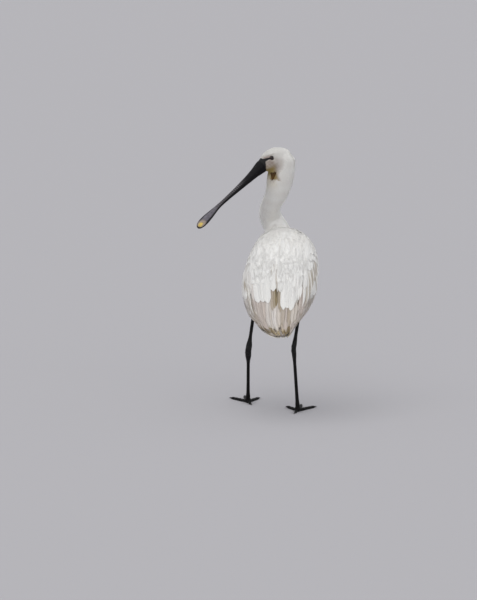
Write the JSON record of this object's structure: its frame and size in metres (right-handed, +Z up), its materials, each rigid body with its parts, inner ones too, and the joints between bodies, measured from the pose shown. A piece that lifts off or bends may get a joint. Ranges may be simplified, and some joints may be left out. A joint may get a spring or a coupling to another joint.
{
  "type": "eurasian spoonbill",
  "caption": "Still life-size Eurasian spoonbill standing in mid-stride, head turned back over its left shoulder, long flat bill with a spoon-shaped tip.",
  "frame": {"origin": "on the ground plane, under the middle of the bird's bounding box", "axes": "+Z up; the bird's body faces +Y and its right side is +X; the picture looks along +Y, from behind the bird"},
  "size_m": [0.2762, 0.4016, 0.5881],
  "materials": {
    "plumage": "matte",
    "flight_feathers": "matte",
    "bill": "satin",
    "leg_skin": "satin",
    "claw": "satin",
    "eye": "gloss"
  },
  "bodies": {
    "root": {"wing_left": "plumage", "flight_feathers_left": "flight_feathers", "wing_right": "plumage", "flight_feathers_right": "flight_feathers", "eye_left": "eye", "eye_right": "eye", "head": "plumage", "bill_upper": "bill", "bill_lower": "bill", "neck_lower": "plumage", "neck_middle": "plumage", "neck_upper": "plumage", "trunk": "plumage", "tail": "flight_feathers", "thigh_left": "plumage", "shank_left": "leg_skin", "tarsus_left": "leg_skin", "claw_middle_left": "claw", "claw_inner_left": "claw", "claw_outer_left": "claw", "claw_hind_left": "claw", "foot_left": "leg_skin", "thigh_right": "plumage", "shank_right": "leg_skin", "tarsus_right": "leg_skin", "claw_middle_right": "claw", "claw_inner_right": "claw", "claw_outer_right": "claw", "claw_hind_right": "claw", "foot_right": "leg_skin"}
  },
  "joints": []
}
